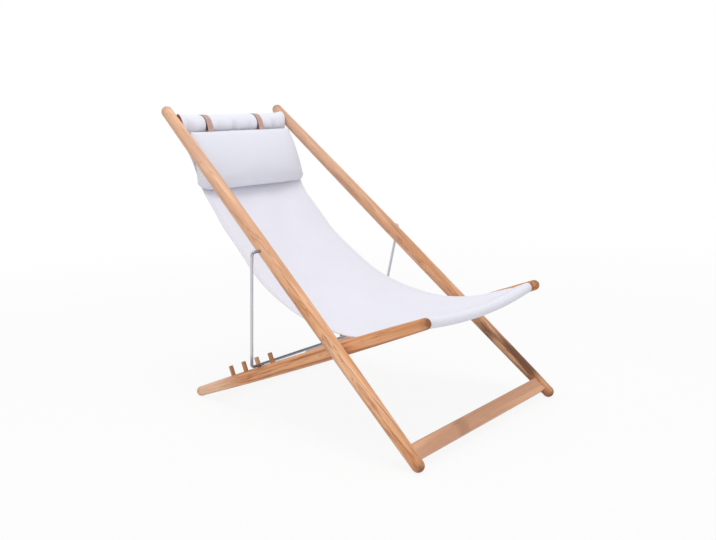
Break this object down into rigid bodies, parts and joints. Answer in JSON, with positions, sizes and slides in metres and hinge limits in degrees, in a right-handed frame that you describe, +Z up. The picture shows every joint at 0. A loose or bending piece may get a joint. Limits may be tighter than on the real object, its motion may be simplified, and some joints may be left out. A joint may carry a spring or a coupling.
{
  "type": "folding sling lounge chair",
  "caption": "Outdoor lounge chair: crossed turned-wood frames, cloth sling seat, steel bail that rests against pegs to set the recline, and a strap-hung head pillow.",
  "frame": {"origin": "on the floor, under the middle of the chair's bounding box", "axes": "X is the width, with the sitter's right hand at -X; -Y is the way the sitter faces; +Z is up"},
  "size_m": [0.648, 0.9179, 0.8074],
  "materials": {
    "teak": "oiled, satin",
    "teak_board": "oiled, satin",
    "teak_peg": "oiled, satin",
    "steel_rod": "satin",
    "steel_fitting": "satin",
    "brass_insert": "satin",
    "sling_cloth": "matt weave",
    "pillow_cloth": "matt weave",
    "strap_leather": "satin"
  },
  "bodies": {
    "seat_frame": {"seat_rail_left": "teak", "seat_rail_right": "teak", "front_bar": "teak", "rear_stretcher": "teak_board", "peg_left_1": "teak_peg", "peg_left_2": "teak_peg", "peg_left_3": "teak_peg", "peg_left_4": "teak_peg", "peg_right_1": "teak_peg", "peg_right_2": "teak_peg", "peg_right_3": "teak_peg", "peg_right_4": "teak_peg"},
    "back_frame": {"long_rail_left": "teak", "long_rail_right": "teak", "top_bar": "teak", "foot_stretcher": "teak_board", "pivot_bolt_left": "steel_fitting", "pivot_bolt_right": "steel_fitting", "pivot_spacer_left": "steel_fitting", "pivot_spacer_right": "steel_fitting", "pivot_insert_left": "brass_insert", "pivot_insert_right": "brass_insert", "sling": "sling_cloth"},
    "bail": {"bail": "steel_rod"},
    "pillow": {"pillow": "pillow_cloth", "pillow_strap_left": "strap_leather", "pillow_strap_right": "strap_leather"}
  },
  "joints": [
    {"name": "fold", "type": "hinge", "parent": "seat_frame", "child": "back_frame", "pos_m": [0, -0.19864, 0.22973], "axis": [1, 0, 0], "range_deg": [0, 96], "deforming": ["sling"]},
    {"name": "bail_swing", "type": "hinge", "parent": "back_frame", "child": "bail", "pos_m": [0, 0.04815, 0.44578], "axis": [1, 0, 0], "range_deg": [-36, 0]},
    {"name": "pillow_flip", "type": "hinge", "parent": "back_frame", "child": "pillow", "pos_m": [0, 0.41458, 0.76657], "axis": [1, 0, 0], "range_deg": [-290, 0]}
  ],
  "couplings": [
    {"joint": "bail_swing", "follows": "fold", "ratio": -0.36}
  ]
}
